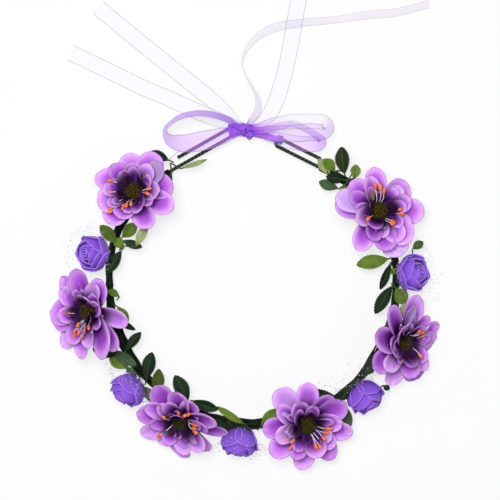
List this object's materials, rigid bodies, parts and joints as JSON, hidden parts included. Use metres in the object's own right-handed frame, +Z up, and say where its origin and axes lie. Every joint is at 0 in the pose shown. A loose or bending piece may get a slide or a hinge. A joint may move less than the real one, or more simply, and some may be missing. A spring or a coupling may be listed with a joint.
{
  "type": "flower crown",
  "caption": "Hair crown: a springy wire ring with purple silk flowers, foam roses and leaves, open at the back and tied with an organza bow.",
  "frame": {"origin": "on the surface the crown lies on, under the middle of its box", "axes": "+Z up out of the surface, +Y from the front of the crown towards the bow and its longest tail, +X to the wearer's side that has the round-leaved tie eye"},
  "size_m": [0.2282, 0.3299, 0.0334],
  "materials": {
    "wire": "matt cotton-covered steel wire",
    "tape": "waxed green floral tape",
    "outer_petal_silk": "matt woven polyester",
    "middle_petal_silk": "matt woven polyester",
    "inner_petal_silk": "matt woven polyester",
    "button_flock": "flocked",
    "rose_foam": "soft closed-cell foam sheet",
    "net": "fine dotted net",
    "leaf_silk": "printed woven polyester",
    "organza": "sheer, slight sheen"
  },
  "bodies": {
    "left_half": {"frame_wire_left": "wire", "binding_tape_left": "tape", "flower_back_left_outer_petals": "outer_petal_silk", "flower_back_left_middle_petals": "middle_petal_silk", "flower_back_left_inner_petals": "inner_petal_silk", "flower_back_left_button": "button_flock", "flower_left_outer_petals": "outer_petal_silk", "flower_left_middle_petals": "middle_petal_silk", "flower_left_inner_petals": "inner_petal_silk", "flower_left_button": "button_flock", "flower_front_left_outer_petals": "outer_petal_silk", "flower_front_left_middle_petals": "middle_petal_silk", "flower_front_left_inner_petals": "inner_petal_silk", "flower_front_left_button": "button_flock", "rose_left_head": "rose_foam", "rose_left_net": "net", "rose_front_left_head": "rose_foam", "rose_front_left_net": "net", "rose_front_head": "rose_foam", "rose_front_net": "net", "leaves_front": "leaf_silk", "leaves_front_left_inner": "leaf_silk", "leaves_left_front": "leaf_silk", "leaves_left_lower": "leaf_silk", "leaves_left_inner": "leaf_silk", "leaves_left_upper": "leaf_silk", "leaves_back_left": "leaf_silk", "bow_knot": "organza", "bow_loop_left": "organza", "bow_loop_right": "organza", "ribbon_tail_upper_left": "organza", "ribbon_tail_lower_left": "organza", "ribbon_tail_back": "organza", "ribbon_tail_curly": "organza", "ribbon_strap": "organza"},
    "right_half": {"frame_wire_right": "wire", "binding_tape_right": "tape", "flower_front_right_outer_petals": "outer_petal_silk", "flower_front_right_middle_petals": "middle_petal_silk", "flower_front_right_inner_petals": "inner_petal_silk", "flower_front_right_button": "button_flock", "flower_right_outer_petals": "outer_petal_silk", "flower_right_middle_petals": "middle_petal_silk", "flower_right_inner_petals": "inner_petal_silk", "flower_right_button": "button_flock", "flower_back_right_outer_petals": "outer_petal_silk", "flower_back_right_middle_petals": "middle_petal_silk", "flower_back_right_inner_petals": "inner_petal_silk", "flower_back_right_button": "button_flock", "rose_front_right_head": "rose_foam", "rose_front_right_net": "net", "rose_right_head": "rose_foam", "rose_right_net": "net", "leaves_back_right_outer": "leaf_silk", "leaves_back_right_inner": "leaf_silk", "leaves_right_inner": "leaf_silk", "leaves_right_lower": "leaf_silk", "leaves_front_right_inner": "leaf_silk", "leaves_front_right": "leaf_silk", "leaves_front_inner": "leaf_silk"}
  },
  "joints": [
    {"name": "ring_flex", "type": "hinge", "parent": "left_half", "child": "right_half", "pos_m": [0.0046, -0.143, 0.006], "axis": [0, 0, -1], "range_deg": [-3, 8], "stiffness_Nm_per_rad": 0.1, "deforming": ["ribbon_strap"]}
  ]
}
